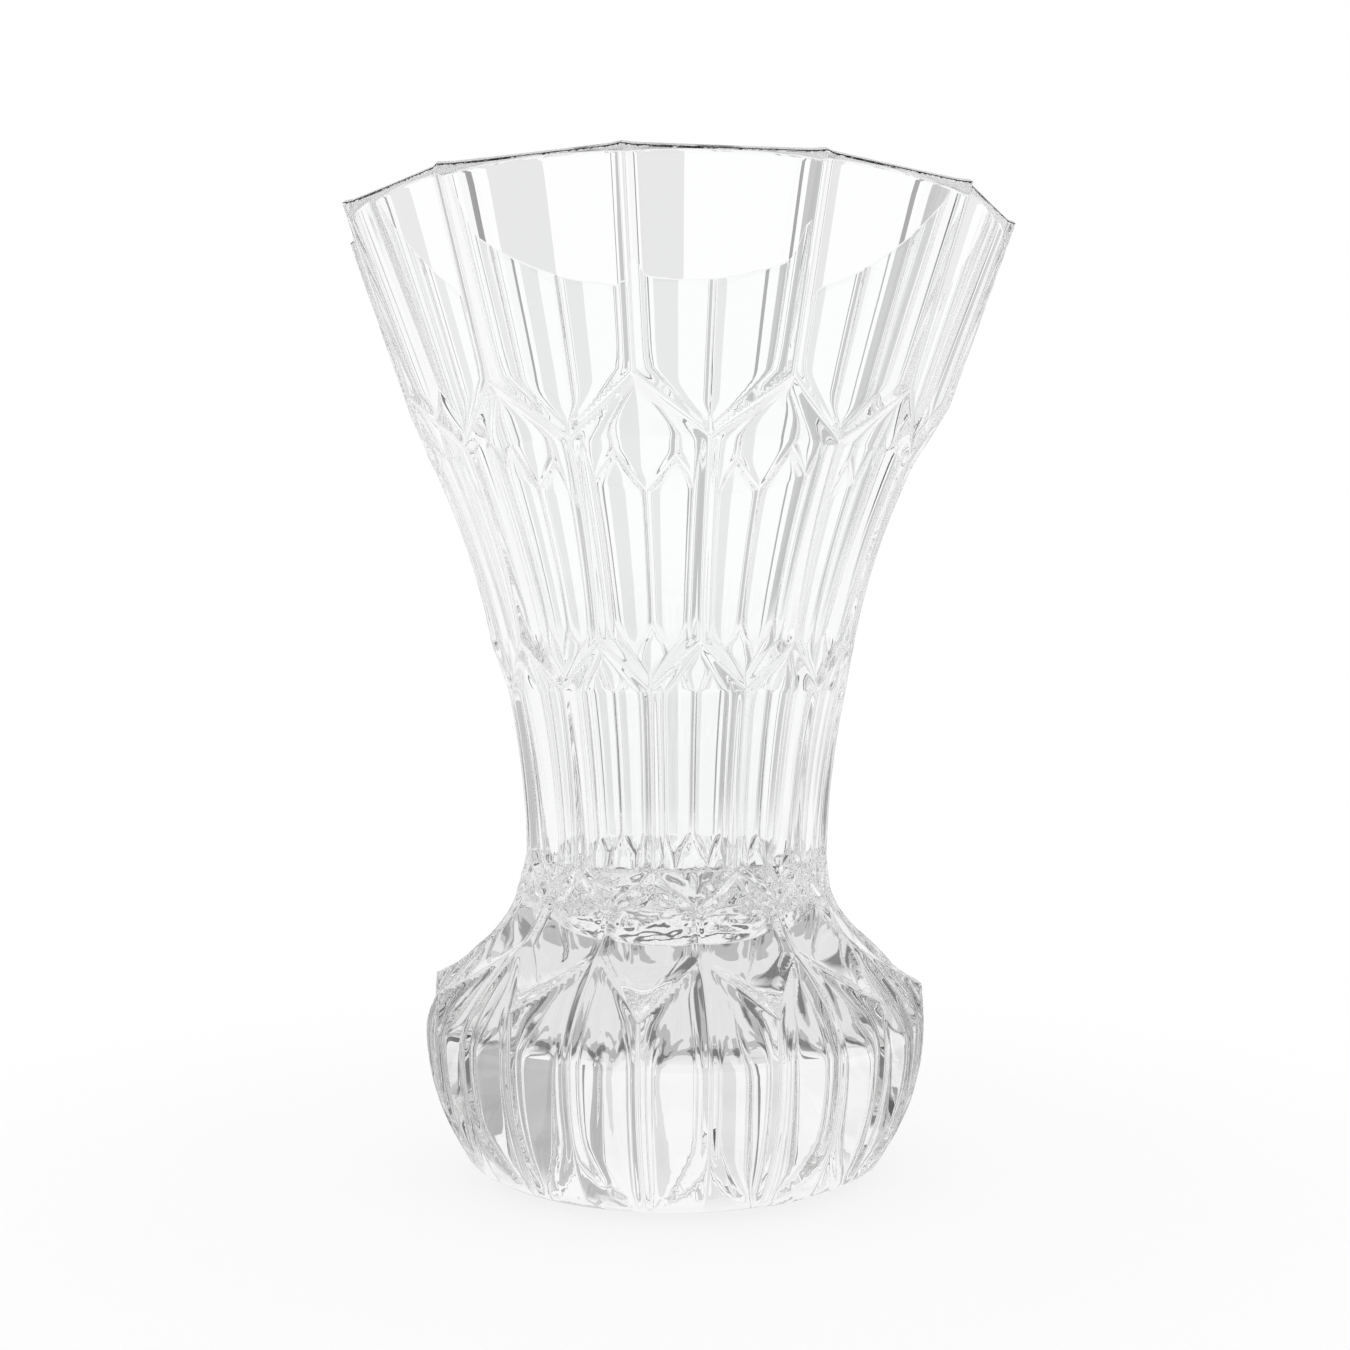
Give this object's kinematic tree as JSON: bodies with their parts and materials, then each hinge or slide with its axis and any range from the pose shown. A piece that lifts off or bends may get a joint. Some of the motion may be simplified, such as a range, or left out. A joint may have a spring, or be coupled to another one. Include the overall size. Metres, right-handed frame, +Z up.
{
  "type": "flower vase",
  "caption": "Clear pressed-glass flower vase with a flared, panelled bowl, a narrow waist and a heavy solid bulb foot; holds water and cut stems.",
  "frame": {"origin": "centre of the underside, on the plane that the foot stands on", "axes": "+Z up along the axis of the vase, from the foot to the mouth; a ridge of the top tier of panels faces -Y and another faces +X"},
  "size_m": [0.1298, 0.1298, 0.18],
  "materials": {
    "clear_glass": "clear, fire-polished, slightly rippled at the waist"
  },
  "bodies": {
    "root": {"bowl": "clear_glass", "foot": "clear_glass"}
  },
  "joints": []
}
